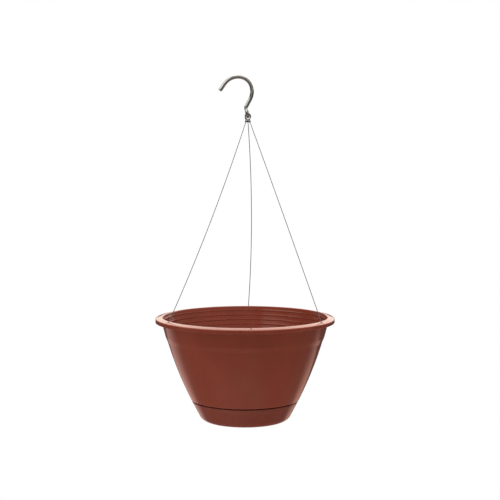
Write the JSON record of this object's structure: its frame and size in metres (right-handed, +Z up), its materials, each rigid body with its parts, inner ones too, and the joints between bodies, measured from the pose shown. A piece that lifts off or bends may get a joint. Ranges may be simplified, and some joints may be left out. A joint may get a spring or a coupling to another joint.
{
  "type": "hanging basket",
  "caption": "Round tapered plastic hanging pot with a flanged rim and clip-on saucer, hung on wire strands from a bent steel hook.",
  "frame": {"origin": "the highest point inside the hook's crown, where the basket hangs", "axes": "+Z up, from the pot towards the hook; the hook lies in the XZ plane with its tip towards -X; the front of the pot faces -Y"},
  "size_m": [0.305, 0.305, 0.5871],
  "materials": {
    "hook_wire": "bright plated steel",
    "strand_wire": "galvanised steel wire",
    "pot_plastic": "satin terracotta polypropylene",
    "saucer_plastic": "satin terracotta polypropylene"
  },
  "bodies": {
    "hook": {"hook": "hook_wire"},
    "basket": {"strand_rear": "strand_wire", "strand_left": "strand_wire", "strand_right": "strand_wire", "pot": "pot_plastic"},
    "saucer": {"saucer": "saucer_plastic"}
  },
  "joints": [
    {"name": "basket_swing", "type": "hinge", "parent": "hook", "child": "basket", "pos_m": [0.0164, 0, -0.063], "axis": [0, 1, 0], "range_deg": [-45, 45]},
    {"name": "saucer_release", "type": "slide", "parent": "basket", "child": "saucer", "axis": [0, 0, -1], "range_m": [0, 0.04]}
  ]
}
